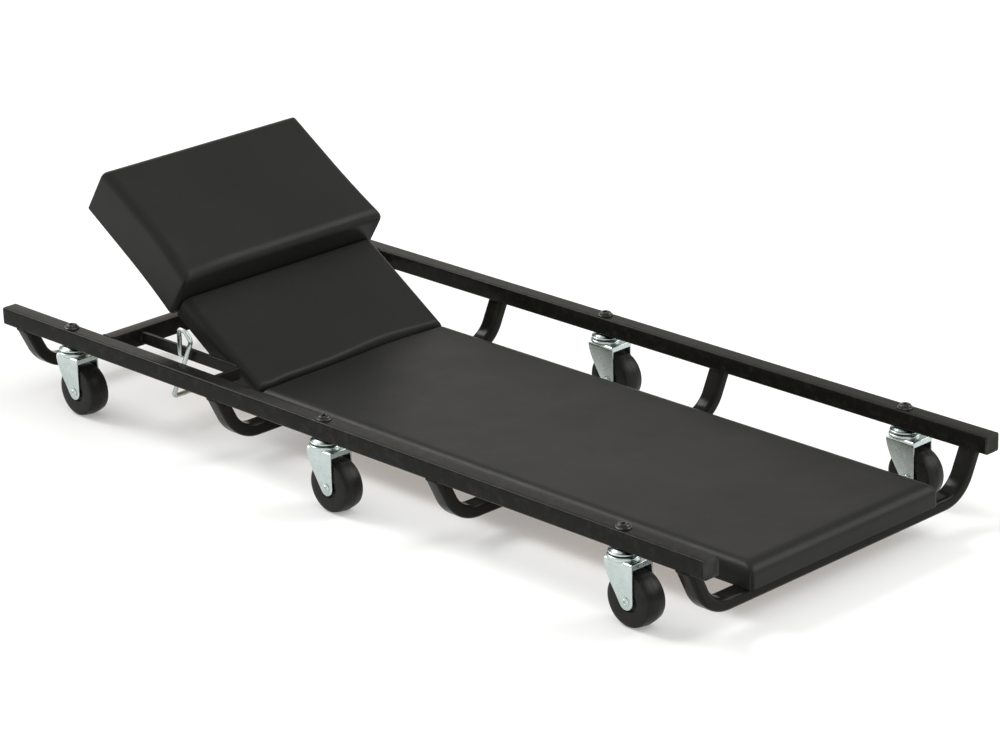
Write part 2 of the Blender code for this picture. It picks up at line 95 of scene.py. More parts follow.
def ranged(look, source, low, high, to_low=0.0, to_high=1.0):
    """The source's values from low to high spread over to_low to to_high, and held there outside."""
    made = node(look, "MapRange", {"Value": source})
    for socket, value in zip(("From Min", "From Max", "To Min", "To Max"), (low, high, to_low, to_high)):
        made.inputs[socket].default_value = value
    return made.outputs[0]


def worked_out(look, how, first, second):
    """Two values, or a value and a number, added or multiplied."""
    made = node(look, "Math")
    made.operation = how
    for socket, value in zip(made.inputs, (first, second)):
        if isinstance(value, float):
            socket.default_value = value
        else:
            look.node_tree.links.new(value, socket)
    return made.outputs[0]


def tinted(look, factor, below, above):
    """A colour that goes from below to above with the factor; below may be another tint."""
    made = look.node_tree.nodes.new("ShaderNodeMix")
    made.data_type = "RGBA"
    look.node_tree.links.new(factor, made.inputs["Factor"])
    for socket, value in ((made.inputs[6], below), (made.inputs[7], above)):
        if isinstance(value, tuple):
            socket.default_value = (*value, 1)
        else:
            look.node_tree.links.new(value, socket)
    return made.outputs[2]


def dressed(look, colour=None, roughness=None, relief=(), metallic=None):
    """Feeds a finish's colour, roughness and metallic; relief is rows of (height, depth in metres)."""
    shader = look.node_tree.nodes["Principled BSDF"]
    for socket, source in (("Base Color", colour), ("Roughness", roughness), ("Metallic", metallic)):
        if source is not None:
            look.node_tree.links.new(source, shader.inputs[socket])
    below = None
    for height, depth in relief:
        made = node(look, "Bump", {"Height": height}, Distance=depth, Strength=1.0)
        if below is not None:
            look.node_tree.links.new(below, made.inputs["Normal"])
        below = made.outputs[0]
    if below is not None:
        look.node_tree.links.new(below, shader.inputs["Normal"])
    return look


def sharpness(look):
    """How sharply the surface turns at each point, 0 on a flat and 1 on a corner, as piece() measured it."""
    made = node(look, "Attribute")
    made.attribute_name = "edge"
    return made.outputs["Fac"]


def make_powder_coat():
    look = finish("black_powder_coat", (0.010, 0.010, 0.009), 0.22, Specular_IOR_Level=0.07)
    cloud = pattern(look, "Noise", 9, Detail=3, Roughness=0.5)
    peel = pattern(look, "Noise", 620, Detail=1.5)
    rubbed = pattern(look, "Noise", 95, Detail=5, Roughness=0.7)
    worn = worked_out(look, "MULTIPLY", sharpness(look), ranged(look, rubbed, 0.5, 0.68))
    base = tinted(look, ranged(look, cloud, 0.35, 0.65), (0.0085, 0.0083, 0.0074), (0.0100, 0.0097, 0.0085))
    base = tinted(look, worked_out(look, "MULTIPLY", worn, 0.3), base, (0.040, 0.040, 0.038))
    return dressed(look, base, ranged(look, cloud, 0.3, 0.7, 0.19, 0.23), ((peel, 0.000010),))


def rounded_outline(half_a, half_b, radius, steps=6):
    """Round a rectangle of those half sizes: a quarter circle at each corner, joined by straight sides.
    The half sizes may be columns of numbers, for one outline each."""
    turn = np.radians(np.linspace(0, 90, steps + 1) + np.array([[0], [90], [180], [270]])).ravel()
    side_a = np.repeat([1, -1, -1, 1], steps + 1)
    side_b = np.repeat([1, 1, -1, -1], steps + 1)
    a = side_a * (half_a - radius) + radius * np.cos(turn)
    b = side_b * (half_b - radius) + radius * np.sin(turn)
    return np.stack(np.broadcast_arrays(a, b), -1)


def bent(corners, radii, steps=14):
    """A line through corners, each rounded by an arc. The arc's centre is radius / sin(half the corner's
    angle) along its bisector, and its points turn evenly from one tangent point to the other."""
    corners = np.asarray(corners, float)
    radius = np.broadcast_to(np.asarray(radii, float), len(corners) - 2)[:, None]
    back = corners[:-2] - corners[1:-1]
    ahead = corners[2:] - corners[1:-1]
    back /= np.linalg.norm(back, axis=1, keepdims=True)
    ahead /= np.linalg.norm(ahead, axis=1, keepdims=True)
    half = np.arccos(np.sum(back * ahead, axis=1, keepdims=True)) / 2
    middle = back + ahead
    centre = corners[1:-1] + middle / np.linalg.norm(middle, axis=1, keepdims=True) * radius / np.sin(half)
    start = corners[1:-1] + back * radius / np.tan(half) - centre
    end = corners[1:-1] + ahead * radius / np.tan(half) - centre
    sweep = (math.pi - 2 * half)[:, None]
    share = np.linspace(0, 1, steps + 1)[None, :, None]
    arms = start[:, None] * np.sin((1 - share) * sweep) + end[:, None] * np.sin(share * sweep)
    arcs = centre[:, None] + arms / np.sin(sweep)
    return np.vstack([corners[:1], arcs.reshape(-1, corners.shape[1]), corners[-1:]])


def carried(path, outline, across):
    """An outline carried along a path: every ring is the path's point, plus the outline's first number
    along the direction across, plus its second square to both across and the path."""
    path = np.asarray(path, float)
    ahead = np.gradient(path, axis=0)
    ahead /= np.linalg.norm(ahead, axis=1, keepdims=True)
    across = np.cross(ahead, np.cross(np.asarray(across, float), ahead))
    across /= np.linalg.norm(across, axis=1, keepdims=True)
    up = np.cross(ahead, across)
    return path[:, None] + outline[..., :1] * across[:, None] + outline[..., 1:] * up[:, None]


def lattice(index, closed_rows=False, closed_columns=False):
    """The quads between neighbours in a table of point numbers; a closed way joins its last to its first."""
    if closed_rows:
        index = np.vstack([index, index[:1]])
    if closed_columns:
        index = np.hstack([index, index[:, :1]])
    return np.stack([index[:-1, :-1], index[1:, :-1], index[1:, 1:], index[:-1, 1:]], -1).reshape(-1, 4)


def skin(rings, joined=False):
    """A shell over a row of equal closed rings, capped at both ends, or joined end to end as on a hollow tube."""
    rings = np.asarray(rings, float)
    index = np.arange(rings.shape[0] * rings.shape[1]).reshape(rings.shape[:2])
    faces = lattice(index, joined, True).tolist()
    if not joined:
        faces += [index[0].tolist(), index[-1][::-1].tolist()]
    return rings.reshape(-1, 3), faces


def hollow(outside, inside):
    """A tube's shell: its outside skin one way and its bore the other, joined at both ends."""
    return skin(np.concatenate([outside, inside[::-1]]), joined=True)


def turned(profile, centre, axis="z", segments=72, six_sided=0, joined=False):
    """A profile of (radius, height) turned about an axis through the centre. Its first rows may be six
    sided: their radius is divided by the cosine of the angle from the nearest flat's middle."""
    angle = np.linspace(0, 2 * math.pi, segments, endpoint=False)
    profile = np.asarray(profile, float)
    radius = np.repeat(profile[:, :1], segments, axis=1)
    radius[:six_sided] /= np.cos(angle % (math.pi / 3) - math.pi / 6)
    height = np.repeat(profile[:, 1:], segments, axis=1)
    a = radius * np.cos(angle)
    b = radius * np.sin(angle)
    rings = np.stack([a, b, height] if axis == "z" else [a, height, b], -1)
    return skin(rings + np.asarray(centre, float), joined)


def closed_mesh(name, shell):
    """A mesh of a shell's points and faces, its doubles merged and its faces turned outwards."""
    points, faces = shell
    mesh = bpy.data.meshes.new(name)
    mesh.from_pydata(points.tolist(), [], faces)
    bm = bmesh.new()
    bm.from_mesh(mesh)
    bmesh.ops.remove_doubles(bm, verts=bm.verts, dist=2e-6)
    bmesh.ops.recalc_face_normals(bm, faces=bm.faces)
    bm.to_mesh(mesh)
    bm.free()
    return mesh


def read_back(mesh):
    """A mesh's points and faces as a shell."""
    points = np.empty(len(mesh.vertices) * 3)
    mesh.vertices.foreach_get("co", points)
    return points.reshape(-1, 3), [tuple(face.vertices) for face in mesh.polygons]


def worked(shell, add=(), cut=()):
    """A shell with others joined to it and more taken out of it."""
    bench = [bpy.data.objects.new("blank", closed_mesh("blank", shell))]
    for how, tools in (("UNION", add), ("DIFFERENCE", cut)):
        for tool in tools:
            bench.append(bpy.data.objects.new("tool", closed_mesh("tool", tool)))
            step = bench[0].modifiers.new(how, "BOOLEAN")
            step.operation = how
            step.solver = "MANIFOLD"
            step.object = bench[-1]
    for obj in bench:
        bpy.context.scene.collection.objects.link(obj)
    graph = bpy.context.evaluated_depsgraph_get()
    result = read_back(bpy.data.meshes.new_from_object(bench[0].evaluated_get(graph)))
    for obj in bench:
        bpy.data.objects.remove(obj)
    return result


def rod(centre, radius, low, high, axis="z"):
    """A plain round bar or drill."""
    return turned([(radius, low), (radius, high)], centre, axis, 40)


def lifted(base, rows):
    """A profile's rows of (radius, height over the base), with the base added."""
    return [(radius, base + height) for radius, height in rows]


def middle_of(name):
    """The middle of a node's box."""
    low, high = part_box(name)
    return (low + high) / 2


def piece(name, shell, look, body, nodes=(), crease=32):
    """One finished piece at the origin, smooth but for edges over the crease angle. Its edge attribute is 0
    where the faces round a point agree and 1 where they turn: 1 less the length of their mean normal."""
    mesh = closed_mesh(name, shell)
    mesh.materials.append(look)
    mesh.shade_smooth()
    mesh.set_sharp_from_angle(angle=math.radians(crease))
    corners = np.empty(len(mesh.loops), int)
    mesh.loops.foreach_get("vertex_index", corners)
    normals = np.empty(len(mesh.polygons) * 3)
    mesh.polygons.foreach_get("normal", normals)
    sides = np.empty(len(mesh.polygons), int)
    mesh.polygons.foreach_get("loop_total", sides)
    total = np.zeros((len(mesh.vertices), 3))
    np.add.at(total, corners, np.repeat(normals.reshape(-1, 3), sides, axis=0))
    count = np.maximum(np.bincount(corners, minlength=len(mesh.vertices)), 1)
    turn = np.clip((1 - np.linalg.norm(total, axis=1) / count) * 30, 0, 1)
    mesh.attributes.new("edge", "FLOAT", "POINT").data.foreach_set("value", turn.astype(np.float32))
    obj = bpy.data.objects.new(name, mesh)
    bpy.context.scene.collection.objects.link(obj)
    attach(obj, body)
    if nodes:
        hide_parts(*nodes)
    return obj


powder_coat = make_powder_coat()
rail_low, rail_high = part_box("side_rail_near")
RAIL_HALF = (rail_high.z - rail_low.z) / 2
RAIL_MIDDLE = (rail_high.z + rail_low.z) / 2
RAIL_Y = -(rail_high.y + rail_low.y) / 2
CASTER_X = [middle_of(f"caster_stem_near_{spot}").x for spot in SPOTS]
square_tube = rounded_outline(RAIL_HALF, RAIL_HALF, TUBE_CORNER)
square_bore = rounded_outline(RAIL_HALF - TUBE_WALL, RAIL_HALF - TUBE_WALL, TUBE_CORNER - TUBE_WALL)

for side, sign in SIDES.items():
    length_line = [(rail_low.x, sign * RAIL_Y, RAIL_MIDDLE), (rail_high.x, sign * RAIL_Y, RAIL_MIDDLE)]
    rail = hollow(carried(length_line, square_tube, (0, 1, 0)), carried(length_line, square_bore, (0, 1, 0)))
    drills = [rod((x, sign * RAIL_Y, 0), BOLT_HOLE, rail_low.z - 0.01, rail_high.z + 0.01) for x in CASTER_X]
    piece(f"rail_{side}", worked(rail, cut=drills), powder_coat, "frame", [f"side_rail_{side}"])


# ------------------------------------------------------------------------------------ rail caps
# Moulded black plugs that close the tube ends. A plate with softened edges sits flush with the tube, and a
# ribbed plug behind it grips the bore. The plastic has a fine spark texture.

def make_cap_plastic():
    look = finish("black_cap_plastic", (0.015, 0.015, 0.015), 0.45, Specular_IOR_Level=0.07)
    spark = pattern(look, "Noise", 2400, Detail=2)
    cloud = pattern(look, "Noise", 60, Detail=3)
    scuffed = worked_out(look, "MULTIPLY", sharpness(look), ranged(look, cloud, 0.4, 0.6))
    base = tinted(look, ranged(look, cloud, 0.35, 0.65), (0.0125, 0.0125, 0.0125), (0.0170, 0.0170, 0.0165))
    base = tinted(look, worked_out(look, "MULTIPLY", scuffed, 0.4), base, (0.075, 0.075, 0.072))
    return dressed(look, base, ranged(look, cloud, 0.3, 0.7, 0.42, 0.56), ((spark, 0.00003),))


cap_plastic = make_cap_plastic()
CAP_PLATE = 0.0018
PLUG_HALF = RAIL_HALF - TUBE_WALL - 0.0004
PLUG_LENGTH = 0.0115
RIB_SPACING = 0.0021


def cap_shell(outer_x, sign_x, y):
    """Rings of rounded squares from the dished face, over the softened edge, back to the plug and its ribs.
    Each ring is a rounded outline of its own half size at its own depth behind the outer face."""
    rows = [(RAIL_HALF - 0.0035, 0.0002), (RAIL_HALF - 0.0030, 0.0000), (RAIL_HALF - 0.0006, 0.0000)]
    rows += [(RAIL_HALF - 0.0002, 0.0002), (RAIL_HALF, 0.0006), (RAIL_HALF, CAP_PLATE), (PLUG_HALF, CAP_PLATE)]
    for rib in np.arange(0.0030, 0.0095, RIB_SPACING):
        rows += [(PLUG_HALF, rib), (PLUG_HALF + 0.0003, rib + 0.0003), (PLUG_HALF - 0.0003, rib + 0.0013)]
    rows.append((PLUG_HALF - 0.0008, PLUG_LENGTH))
    half, depth = np.array(rows).T
    outline = rounded_outline(half[:, None], half[:, None], np.minimum(TUBE_CORNER, half[:, None] * 0.25))
    x = np.broadcast_to((outer_x - sign_x * depth)[:, None], outline.shape[:2])
    return skin(np.stack([x, outline[..., 0] + y, outline[..., 1] + RAIL_MIDDLE], -1))


for side, sign in SIDES.items():
    for end, sign_x in (("foot", 1), ("head", -1)):
        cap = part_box(f"rail_cap_{side}_{end}")
        outer_x = cap[1].x if sign_x > 0 else cap[0].x
        shell = cap_shell(outer_x, sign_x, sign * RAIL_Y)
        piece(f"cap_{side}_{end}", shell, cap_plastic, "frame", [f"rail_cap_{side}_{end}"])


# ------------------------------------------------------------------------------------ cradle tubes
# Four pieces of 20 x 14 mm flat-sided tube, bent cold to a wide U. The bends draw the inner wall in and leave
# it hollow between two ridges. Each leg is cut level and welded under its rail.

CRADLE_HALF = (0.010, 0.007)
CRADLE_CORNER = 0.0045
CRADLE_WALL = 0.0014
CRADLE_BEND = 0.037
CRADLE_LEAN = math.radians(26)
BEND_HOLLOW = 0.0011
BEND_STEPS = 22
LEG_OUT = 0.0013
SCREW_HOLE = 0.0029
SCREW_Y = 0.090


def cradle_rings(x, inset):
    """The tube's outline, drawn in by the inset, carried round its U. In the bends its inner side sinks by a
    cosine hump across the width. Each leg's last ring slides along the leg until it is level under the rail."""
    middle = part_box("cradle_tube_seat")[0].z + CRADLE_HALF[1]
    top = rail_low.z - WELD_GAP
    top_y = RAIL_Y + LEG_OUT
    knee_y = top_y - (top - middle) * math.tan(CRADLE_LEAN)
    corners = [(x, -top_y, top), (x, -knee_y, middle), (x, knee_y, middle), (x, top_y, top)]
    path = bent(corners, CRADLE_BEND, BEND_STEPS)
    one_bend = np.sin(np.linspace(0, math.pi, BEND_STEPS + 1)) ** 0.5
    rounding = np.concatenate([[0], one_bend, one_bend, [0]])[:, None]
    outline = rounded_outline(CRADLE_HALF[0] - inset, CRADLE_HALF[1] - inset, CRADLE_CORNER - inset, 8)
    outline = np.repeat(outline[None], len(path), 0)
    hump = np.cos(outline[..., 0] / CRADLE_HALF[0] * math.pi / 2) * (outline[..., 1] > 0)
    outline[..., 1] -= BEND_HOLLOW * rounding * hump
    rings = carried(path, outline, (1, 0, 0))
    for end, neighbour in ((0, 1), (-1, -2)):
        leg = rings[end] - rings[neighbour]
        rings[end] += leg * ((top - rings[end, :, 2]) / leg[:, 2])[:, None]
    return rings


WELD_STEPS = 240
WELD_TUCK = 0.07


def weld_bead(ring, radius, ripples):
    """A fillet weld round a joint: a small circle carried round the ring, its radius swelling and shrinking
    in even ripples as the torch went along."""
    steps = np.linspace(0, 1, WELD_STEPS, endpoint=False) * len(ring)
    first = steps.astype(int)
    share = (steps - first)[:, None]
    path = ring[first] * (1 - share) + ring[(first + 1) % len(ring)] * share
    ahead = np.roll(path, -1, 0) - np.roll(path, 1, 0)
    ahead /= np.linalg.norm(ahead, axis=1, keepdims=True)
    plane = np.cross(ring[len(ring) // 3] - ring[0], ring[2 * len(ring) // 3] - ring[0])
    plane /= np.linalg.norm(plane)
    out = np.cross(ahead, plane)
    turn = np.linspace(0, 2 * math.pi, 10, endpoint=False)[None, :, None]
    ripple = np.sin(np.linspace(0, 2 * math.pi * ripples, WELD_STEPS, endpoint=False))
    swell = radius * (1 + 0.16 * ripple)[:, None, None]
    return skin(path[:, None] + swell * (np.cos(turn) * out[:, None] + np.sin(turn) * plane), joined=True)


def put_weld(name, ring, ripples=26, radius=0.0012):
    """A weld round the end ring of a tube or bar, tucked a little in from its outline."""
    ring = ring + (ring.mean(0) - ring) * WELD_TUCK
    piece(f"weld_{name}", weld_bead(ring, radius, ripples), powder_coat, "frame", crease=70)


for spot in ("head", "neck", "seat", "foot"):
    x = middle_of(f"cradle_tube_{spot}").x
    outside = cradle_rings(x, 0)
    tube = hollow(outside, cradle_rings(x, CRADLE_WALL))
    if spot != "head":
        tube = worked(tube, cut=[rod((x, y, 0), SCREW_HOLE, 0.0, 0.05) for y in (-SCREW_Y, SCREW_Y)])
    piece(f"cradle_{spot}", tube, powder_coat, "frame", [f"cradle_tube_{spot}"], 40)
    put_weld(f"cradle_{spot}_near", outside[0])
    put_weld(f"cradle_{spot}_far", outside[-1])


# ------------------------------------------------------------------------------------ cross bar and prop bars
# A square tube joins the rails under the head section. From it two flat bars on edge run towards the foot,
# the near one turning out to its rail; the bail's wire ends sit in a hole drilled through each.

PROP_THICK = 0.004
PROP_CORNER = 0.0009
PROP_BEND = 0.007
PIN_HOLE = 0.0029
pin_at = np.array(next(j["pos_m"] for j in frame["joints"] if j["name"] == "bail_swing"), float)
bar_low, bar_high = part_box("head_cross_bar")
bar_x = (bar_low.x + bar_high.x) / 2
bar_line = [(bar_x, bar_low.y, RAIL_MIDDLE), (bar_x, bar_high.y, RAIL_MIDDLE)]
bar_rings = carried(bar_line, square_tube, (1, 0, 0))
bar_shell = hollow(bar_rings, carried(bar_line, square_bore, (1, 0, 0)))
piece("cross_bar", bar_shell, powder_coat, "frame", ["head_cross_bar"])
put_weld("cross_bar_near", bar_rings[0])
put_weld("cross_bar_far", bar_rings[-1])

near_low, near_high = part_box("prop_bar_near")
far_low, far_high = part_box("prop_bar_far")
bar_z = (near_low.z + near_high.z) / 2
near_y = near_high.y - PROP_THICK / 2
far_y = (far_low.y + far_high.y) / 2
turn_x = near_high.x - PROP_THICK / 2
near_line = bent([(near_low.x, near_y, bar_z), (turn_x, near_y, bar_z), (turn_x, near_low.y, bar_z)], PROP_BEND)
far_line = np.array([(far_low.x, far_y, bar_z), (far_high.x, far_y, bar_z)])
flat_bar = rounded_outline((near_high.z - near_low.z) / 2, PROP_THICK / 2, PROP_CORNER)

for side, line in (("near", near_line), ("far", far_line)):
    rings = carried(line, flat_bar, (0, 0, 1))
    pin_hole = rod((pin_at[0], line[0, 1], pin_at[2]), PIN_HOLE, -0.01, 0.01, "y")
    bar = worked(skin(rings), cut=[pin_hole])
    piece(f"prop_{side}", bar, powder_coat, "frame", [f"prop_bar_{side}"])
    put_weld(f"prop_{side}_bar", rings[0], 14, 0.0010)
    if side == "near":
        put_weld("prop_near_rail", rings[-1], 14, 0.0010)


# ------------------------------------------------------------------------------------ caster bolts
# A flanged button-head bolt drops through the rail and carries its caster. Its head has a hex socket and is
# blackened in oil; under the fork the shank is swaged over into a collar.

def make_black_oxide():
    look = finish("black_oxide_steel", (0.02, 0.02, 0.02), 0.28, 0.55, Specular_IOR_Level=0.5)
    cloud = pattern(look, "Noise", 240, Detail=4)
    rubbed = worked_out(look, "MULTIPLY", sharpness(look), ranged(look, cloud, 0.42, 0.62))
    base = tinted(look, ranged(look, cloud, 0.3, 0.7), (0.012, 0.012, 0.013), (0.026, 0.025, 0.025))
    base = tinted(look, worked_out(look, "MULTIPLY", rubbed, 0.5), base, (0.16, 0.155, 0.15))
    return dressed(look, base, ranged(look, cloud, 0.3, 0.7, 0.2, 0.36), ((cloud, 0.00002),))


black_oxide = make_black_oxide()
SHANK = 0.0039
CROWN_LOW = 0.0633
top = rail_high.z + 0.0002
under = CROWN_LOW - 0.0004
socket_and_head = [(0.0008, 0.0012), (0.0023, 0.0015), (0.0024, 0.0037), (0.0031, 0.0041), (0.0041, 0.00405)]
socket_and_head += [(0.0052, 0.0036), (0.0060, 0.0028), (0.0064, 0.0019), (0.0066, 0.0014), (0.0074, 0.0012)]
socket_and_head += [(0.0078, 0.0008), (0.0079, 0.0004), (0.0077, 0), (SHANK, 0)]
collar = [(SHANK, 0), (0.0067, 0), (0.0070, -0.0004), (0.0068, -0.0014), (0.0058, -0.0023), (0.0030, -0.0026)]
bolt_profile = lifted(top, socket_and_head) + lifted(under, collar)

for side, sign in SIDES.items():
    for spot, x in zip(SPOTS, CASTER_X):
        bolt = turned(bolt_profile, (x, sign * RAIL_Y, 0), segments=60, six_sided=3)
        piece(f"bolt_{side}_{spot}", bolt, black_oxide, "frame", [f"caster_stem_{side}_{spot}"], 38)


# ------------------------------------------------------------------------------------ raceways
# The fixed upper half of each swivel: a dish pressed from 1.6 mm sheet with a rolled rim, zinc plated and
# passivated to a cool blue white. The plating runs a little milky and picks up fine scratches.

def make_bright_zinc():
    look = finish("bright_zinc", (0.66, 0.72, 0.73), 0.24, 1.0)
    cloud = pattern(look, "Noise", 130, Detail=4, Roughness=0.6)
    drawn = pattern(look, "Noise", 75, (1, 1, 0.08), Detail=1)
    stain = ranged(look, pattern(look, "Noise", 46, Detail=5, Roughness=0.7), 0.52, 0.72)
    base = tinted(look, ranged(look, cloud, 0.35, 0.65), (0.47, 0.545, 0.535), (0.545, 0.61, 0.595))
    base = tinted(look, worked_out(look, "MULTIPLY", stain, 0.25), base, (0.42, 0.45, 0.43))
    bright = ranged(look, cloud, 0.3, 0.7, 0.2, 0.33)
    gloss = worked_out(look, "ADD", bright, worked_out(look, "MULTIPLY", stain, 0.1))
    return dressed(look, base, gloss, ((drawn, 0.0006), (cloud, 0.000012)))


bright_zinc = make_bright_zinc()
dish = [(0.0043, 0), (0.0094, 0), (0.0106, -0.0003), (0.0122, -0.0014), (0.0136, -0.0020), (0.0147, -0.0022)]
dish += [(0.0151, -0.0026), (0.0152, -0.0031), (0.0150, -0.0036), (0.0145, -0.0038), (0.0132, -0.0036)]
dish += [(0.0112, -0.0028), (0.0098, -0.0019), (0.0043, -0.0017)]
race_profile = lifted(rail_low.z - WELD_GAP, dish)

for side, sign in SIDES.items():
    for spot, x in zip(SPOTS, CASTER_X):
        race = turned(race_profile, (x, sign * RAIL_Y, 0), segments=80, joined=True)
        piece(f"raceway_{side}_{spot}", race, bright_zinc, "frame", [f"caster_race_{side}_{spot}"], 50)


# ------------------------------------------------------------------------------------ caster forks
# One pressing of 1.7 mm steel: a crown with a raised raceway, two legs that narrow to a round end at the
# axle, and a lip turned down in front. Zinc plated like the raceway.

SHEET = 0.0017
FORK_HALF = 0.0143
TRAIL = 0.0145
LEG_END = 0.0084
LEG_MIDDLE = TRAIL - 0.0002
FORK_FRONT = LEG_MIDDLE + LEG_END
FORK_REAR = -0.0124
KING_BORE = 0.0043
RIVET_BORE = 0.0031
hub_z = middle_of("caster_wheel_near_foot").z


def fork_sheet():
    """The U of sheet as one row of thin rounded outlines, up one leg, over the crown and down the other.
    The front edge is straight; the rear edge slopes in, and below the axle both follow the leg's round end."""
    middle_y = FORK_HALF - SHEET / 2
    crown_z = CROWN_LOW + SHEET / 2
    low_turn = np.radians(np.linspace(-84, 0, 14))
    leg_z = np.concatenate([hub_z + LEG_END * np.sin(low_turn), np.linspace(hub_z, crown_z - 0.0030, 24)[1:]])
    leg = np.stack([np.full_like(leg_z, -middle_y), leg_z], -1)
    over = bent([(-middle_y, crown_z - 0.0030), (-middle_y, crown_z), (0, crown_z)], 0.0026, 8)[1:]
    half = np.vstack([leg, over])
    path = np.vstack([half, half[-2::-1] * (-1, 1)])
    z = path[:, 1]
    drop = np.sqrt(np.clip(LEG_END ** 2 - np.clip(hub_z - z, 0, None) ** 2, 0, None))
    front = LEG_MIDDLE + drop
    round_to = hub_z - 0.0037
    slope = np.interp(z, [round_to, 0.0450, 0.0500, 0.0560, 0.0610], [0.0067, -0.0068, -0.0091, -0.0113, FORK_REAR])
    rear = np.where(z < round_to, LEG_MIDDLE - drop, slope)
    half_long = np.maximum((front - rear) / 2, 0.0009)[:, None]
    outline = rounded_outline(half_long, SHEET / 2, 0.0006, 4)
    outline[..., 0] += ((front + rear) / 2)[:, None]
    line = np.stack([np.zeros(len(path)), path[:, 0], z], -1)
    return skin(carried(line, outline, (1, 0, 0)))


def lip_shell():
    """The front lip: a thin rounded outline carried across between the legs, turned down from the crown."""
    reach = FORK_HALF - SHEET * 0.6
    line = [(FORK_FRONT - SHEET / 2, y, CROWN_LOW - 0.0013) for y in (-reach, reach)]
    return skin(carried(line, rounded_outline(SHEET / 2, 0.0027, 0.0006, 4), (1, 0, 0)))


crown = [(KING_BORE, 0.0001), (0.0150, 0.0001), (0.0159, 0.0006), (0.0163, 0.0018), (0.0162, 0.0032)]
crown += [(0.0157, 0.0041), (0.0148, 0.0046), (0.0138, 0.0045), (0.0130, 0.0041), (0.0118, 0.0043)]
crown += [(0.0100, 0.0052), (0.0088, 0.0054), (KING_BORE, 0.0054)]
fork_shell = worked(
    fork_sheet(),
    add=[turned(lifted(CROWN_LOW, crown), (0, 0, 0), segments=80, joined=True), lip_shell()],
    cut=[rod((0, 0, 0), KING_BORE, 0.05, 0.08), rod((TRAIL, 0, hub_z), RIVET_BORE, -0.03, 0.03, "y")],
)


def caster_pieces(kind, shell, look, node, body, crease=32):
    """The same shell set down at each of the six casters."""
    points, faces = shell
    for side, sign in SIDES.items():
        for spot, x in zip(SPOTS, CASTER_X):
            tag = f"{side}_{spot}"
            placed = points + (x, sign * RAIL_Y, 0)
            piece(f"{kind}_{tag}", (placed, faces), look, f"{body}_{tag}", [f"{node}_{tag}"], crease)


caster_pieces("fork", fork_shell, bright_zinc, "caster_fork", "fork", 40)


# ------------------------------------------------------------------------------------ axles
# A tubular rivet through both legs, its ends rolled over into a ring on a flat shoulder.

def mirrored(rows):
    """A profile of one side, (radius, distance out), with the other side's after it."""
    return rows + [(radius, -out) for radius, out in reversed(rows)]


rolled_end = [(0.0011, 0.0004), (0.0014, 0.0013), (0.0019, 0.0018), (0.0025, 0.0017), (0.0029, 0.0011)]
rolled_end += [(0.0034, 0.0009), (0.0042, 0.0008), (0.0045, 0.0005), (0.0045, 0), (0.0029, 0)]
axle_profile = mirrored(lifted(FORK_HALF + 0.0001, rolled_end))
axle_shell = turned(axle_profile, (TRAIL, 0, hub_z), "y", 48)
caster_pieces("axle", axle_shell, bright_zinc, "caster_axle", "fork", 40)


# ------------------------------------------------------------------------------------ wheels
# Solid black rubber moulded round a steel sleeve. The tread is slightly barrelled with a mould line round
# its middle, the shoulders are crisp, and the side is dished round the hub.

def make_wheel_rubber():
    look = finish("black_rubber", (0.016, 0.016, 0.016), 0.36, Specular_IOR_Level=0.13)
    cloud = pattern(look, "Noise", 70, Detail=4, Roughness=0.6)
    skin_grain = pattern(look, "Noise", 1500, Detail=2)
    dust = ranged(look, pattern(look, "Noise", 210, Detail=6, Roughness=0.7), 0.54, 0.75)
    base = tinted(look, ranged(look, cloud, 0.35, 0.65), (0.009, 0.009, 0.009), (0.0135, 0.0135, 0.013))
    base = tinted(look, worked_out(look, "MULTIPLY", dust, 0.25), base, (0.055, 0.052, 0.047))
    gloss = worked_out(look, "ADD", ranged(look, cloud, 0.3, 0.7, 0.3, 0.42), worked_out(look, "MULTIPLY", dust, 0.12))
    return dressed(look, base, gloss, ((skin_grain, 0.00002),))


wheel_rubber = make_wheel_rubber()
WHEEL_HALF = 0.0122
WHEEL_RADIUS = hub_z
TREAD_DROP = 0.0016
TREAD_HALF = 0.0115
barrel = np.linspace(0.0110, 0.0006, 10)
tread = WHEEL_RADIUS - TREAD_DROP * (barrel / TREAD_HALF) ** 2
wheel_side = [(0.0033, 0.0119), (0.0060, 0.0119), (0.0064, 0.0116), (0.0066, 0.0092), (0.0072, 0.0088)]
wheel_side += [(0.0098, 0.0088), (0.0104, 0.0092), (0.0109, 0.0116), (0.0114, WHEEL_HALF - 0.0001)]
wheel_side += [(0.0124, WHEEL_HALF), (0.0215, WHEEL_HALF - 0.0003), (0.0236, WHEEL_HALF - 0.0005)]
wheel_side += [(0.0248, WHEEL_HALF - 0.0007), (0.0254, WHEEL_HALF - 0.0010), *zip(tread, barrel)]
wheel_side += [(WHEEL_RADIUS, 0.0003), (WHEEL_RADIUS + 0.0002, 0.0001)]
wheel_shell = turned(mirrored(wheel_side), (TRAIL, 0, hub_z), "y", 112, joined=True)
caster_pieces("wheel", wheel_shell, wheel_rubber, "caster_wheel", "wheel", 24)


# ------------------------------------------------------------------------------------ boards, screws and hinge
# The boards are 9 mm plywood with the face grain running lengthways, held by pan-head screws from below. The
# long hinge between them is bare rolled steel, greasy and lightly brushed. These keep their solids' own shape.

